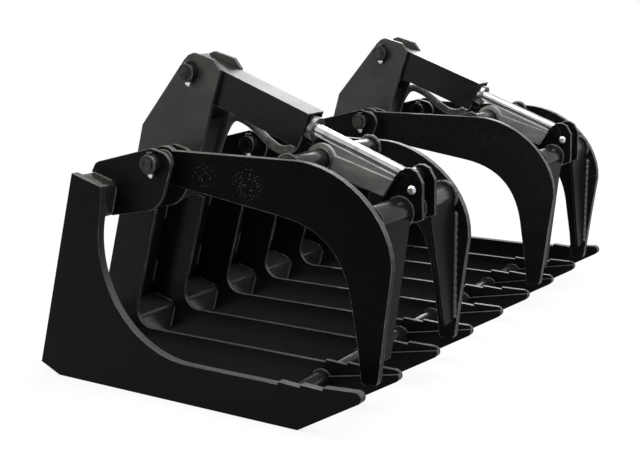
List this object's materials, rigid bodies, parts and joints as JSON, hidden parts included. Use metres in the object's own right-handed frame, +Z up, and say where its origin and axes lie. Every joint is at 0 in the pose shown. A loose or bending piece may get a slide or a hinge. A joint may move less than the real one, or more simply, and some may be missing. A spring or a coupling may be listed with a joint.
{
  "type": "root grapple",
  "caption": "Wide toothed steel frame with a leaning back and hydraulic jaws, made to grip roots, logs and brush in front of a compact loader.",
  "frame": {"origin": "on the ground under the middle tine, at the middle of the width", "axes": "+X to the driver's left, -Y to the tips, +Z up, with the jaws closed"},
  "size_m": [1.8528, 1.1764, 0.921],
  "materials": {
    "black_paint": "semi-gloss black powder coat over cut plate and weld beads",
    "pin_steel": "dark turned steel with a bright rim",
    "gland_steel": "dark machined steel",
    "zinc": "bright zinc plate",
    "chrome": "hard chrome, polished",
    "hose_rubber": "matt black hose cover"
  },
  "bodies": {
    "frame": {"end_plate_right": "black_paint", "tine_1": "black_paint", "tine_2": "black_paint", "tine_3": "black_paint", "tine_4": "black_paint", "tine_5": "black_paint", "tine_6": "black_paint", "tine_7": "black_paint", "end_plate_left": "black_paint", "nose_plates": "black_paint", "top_tube": "black_paint", "corner_tube": "black_paint", "front_pipe": "black_paint", "attach_plate": "black_paint", "attach_rails": "black_paint", "right_tower_plates": "black_paint", "left_tower_plates": "black_paint", "tower_webs": "black_paint", "right_outer_bracket": "black_paint", "right_inner_bracket": "black_paint", "left_inner_bracket": "black_paint", "left_outer_bracket": "black_paint", "frame_pins": "pin_steel", "pin_collars": "black_paint", "cross_bolts": "zinc", "hose_ports": "zinc", "right_rod_hose": "hose_rubber", "right_base_hose": "hose_rubber", "left_rod_hose": "hose_rubber", "left_base_hose": "hose_rubber"},
    "right_jaw": {"right_outer_arm": "black_paint", "right_inner_arm": "black_paint", "right_sleeves": "black_paint", "right_jaw_pipe": "black_paint", "right_rear_pipes": "black_paint", "right_straps": "black_paint", "right_webs": "black_paint", "right_ears": "black_paint", "right_clevis_pin": "pin_steel"},
    "right_cylinder": {"right_barrel": "black_paint", "right_gland": "gland_steel", "right_guard": "black_paint"},
    "right_piston": {"right_rod": "chrome"},
    "right_eye": {"right_rod_eye": "black_paint"},
    "left_jaw": {"left_outer_arm": "black_paint", "left_inner_arm": "black_paint", "left_sleeves": "black_paint", "left_jaw_pipe": "black_paint", "left_rear_pipes": "black_paint", "left_straps": "black_paint", "left_webs": "black_paint", "left_ears": "black_paint", "left_clevis_pin": "pin_steel"},
    "left_cylinder": {"left_barrel": "black_paint", "left_gland": "gland_steel", "left_guard": "black_paint"},
    "left_piston": {"left_rod": "chrome"},
    "left_eye": {"left_rod_eye": "black_paint"}
  },
  "joints": [
    {"name": "right_jaw_hinge", "type": "hinge", "parent": "frame", "child": "right_jaw", "pos_m": [-0.5715, 0.121, 0.6375], "axis": [-1, 0, 0], "range_deg": [0, 52]},
    {"name": "right_barrel_tilt", "type": "hinge", "parent": "frame", "child": "right_cylinder", "pos_m": [-0.5715, 0.163, 0.866], "axis": [-1, 0, 0], "range_deg": [0, 49.93], "deforming": ["right_rod_hose", "right_base_hose"]},
    {"name": "right_rod_slide", "type": "slide", "parent": "right_cylinder", "child": "right_piston", "axis": [0, -0.9343, -0.3564], "range_m": [-0.20249, 0]},
    {"name": "right_clevis_pivot", "type": "hinge", "parent": "right_jaw", "child": "right_eye", "pos_m": [-0.5715, -0.512, 0.6085], "axis": [-1, 0, 0], "range_deg": [-2.07, 0]},
    {"name": "left_jaw_hinge", "type": "hinge", "parent": "frame", "child": "left_jaw", "pos_m": [0.5715, 0.121, 0.6375], "axis": [-1, 0, 0], "range_deg": [0, 52]},
    {"name": "left_barrel_tilt", "type": "hinge", "parent": "frame", "child": "left_cylinder", "pos_m": [0.5715, 0.163, 0.866], "axis": [-1, 0, 0], "range_deg": [0, 49.93], "deforming": ["left_rod_hose", "left_base_hose"]},
    {"name": "left_rod_slide", "type": "slide", "parent": "left_cylinder", "child": "left_piston", "axis": [0, -0.9343, -0.3564], "range_m": [-0.20249, 0]},
    {"name": "left_clevis_pivot", "type": "hinge", "parent": "left_jaw", "child": "left_eye", "pos_m": [0.5715, -0.512, 0.6085], "axis": [-1, 0, 0], "range_deg": [-2.07, 0]}
  ],
  "couplings": [
    {"joint": "right_barrel_tilt", "follows": "right_jaw_hinge", "ratio": 0.96015},
    {"joint": "right_rod_slide", "follows": "right_jaw_hinge", "m_per_rad": -0.2231},
    {"joint": "right_clevis_pivot", "follows": "right_jaw_hinge", "ratio": -0.03985},
    {"joint": "left_barrel_tilt", "follows": "left_jaw_hinge", "ratio": 0.96015},
    {"joint": "left_rod_slide", "follows": "left_jaw_hinge", "m_per_rad": -0.2231},
    {"joint": "left_clevis_pivot", "follows": "left_jaw_hinge", "ratio": -0.03985}
  ]
}
